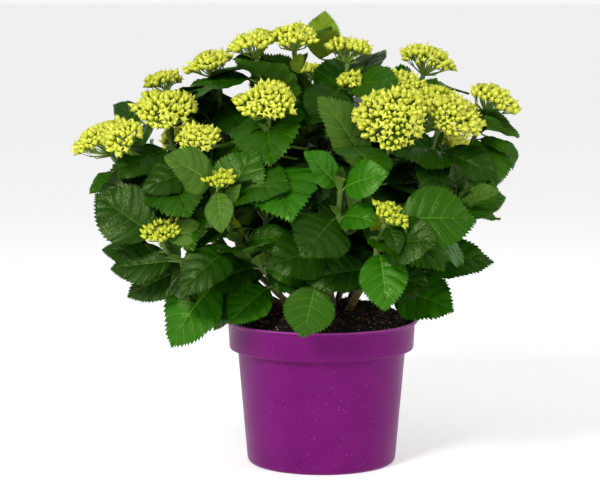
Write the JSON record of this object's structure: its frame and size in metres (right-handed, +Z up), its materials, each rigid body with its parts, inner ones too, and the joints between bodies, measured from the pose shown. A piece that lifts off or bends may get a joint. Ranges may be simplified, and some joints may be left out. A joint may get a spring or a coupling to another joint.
{
  "type": "hydrangea shrub in a pot",
  "caption": "Mophead hydrangea bush with green-yellow flower heads in bud above broad toothed leaves, standing in a round purple plastic nursery pot full of compost.",
  "frame": {"origin": "centre of the pot's flat underside", "axes": "+Z up the plant, -Y towards the front, +X to the right as seen from the front"},
  "size_m": [0.5307, 0.5099, 0.537],
  "materials": {
    "pot_plastic": "satin",
    "compost_peat": "matte",
    "stem_bark": "matte",
    "leaf_green": "satin",
    "budding_foliage": "matte"
  },
  "bodies": {
    "root": {"pot": "pot_plastic", "compost": "compost_peat", "stem_low_left": "stem_bark", "stem_left": "stem_bark", "stem_side_left": "stem_bark", "stem_front_left": "stem_bark", "stem_front": "stem_bark", "stem_front_right": "stem_bark", "stem_right": "stem_bark", "stem_back_right": "stem_bark", "stem_back_inner": "stem_bark", "stem_back": "stem_bark", "stem_back_left": "stem_bark", "stem_middle": "stem_bark", "foliage_heart_low": "leaf_green", "foliage_heart_high": "leaf_green", "foliage_far_left": "budding_foliage", "foliage_left_front": "budding_foliage", "foliage_left": "budding_foliage", "foliage_left_back": "budding_foliage", "foliage_upper_left": "budding_foliage", "foliage_inner_left": "budding_foliage", "foliage_front_left": "budding_foliage", "foliage_low_left": "budding_foliage", "foliage_crown_left": "budding_foliage", "foliage_crown_front": "budding_foliage", "foliage_front_upper": "budding_foliage", "foliage_crown_right": "budding_foliage", "foliage_front_right": "budding_foliage", "foliage_inner_right": "budding_foliage", "foliage_right_front": "budding_foliage", "foliage_upper_right": "budding_foliage", "foliage_far_right": "budding_foliage", "foliage_low_front_right": "budding_foliage", "foliage_front": "budding_foliage", "foliage_right": "budding_foliage", "foliage_side_right": "budding_foliage", "foliage_back_right": "budding_foliage", "foliage_back_inner": "budding_foliage", "foliage_back_high": "budding_foliage", "foliage_back": "budding_foliage", "foliage_back_left": "budding_foliage", "foliage_side_back": "budding_foliage", "foliage_side_left": "budding_foliage", "foliage_low_back_right": "budding_foliage", "foliage_low_back_left": "budding_foliage", "foliage_low_left_leaf": "leaf_green", "foliage_left_tip_leaf": "leaf_green", "foliage_left_mid_leaf": "leaf_green", "foliage_left_big_leaf": "leaf_green", "foliage_upper_left_leaf": "leaf_green", "foliage_rim_front_leaf": "leaf_green", "foliage_rim_left_leaf": "leaf_green", "foliage_side_low_leaf": "leaf_green", "foliage_low_right_leaf": "leaf_green", "foliage_right_mid_leaf": "leaf_green", "foliage_right_high_leaf": "leaf_green", "foliage_far_right_leaf": "leaf_green", "foliage_crown_leaf": "leaf_green"}
  },
  "joints": []
}
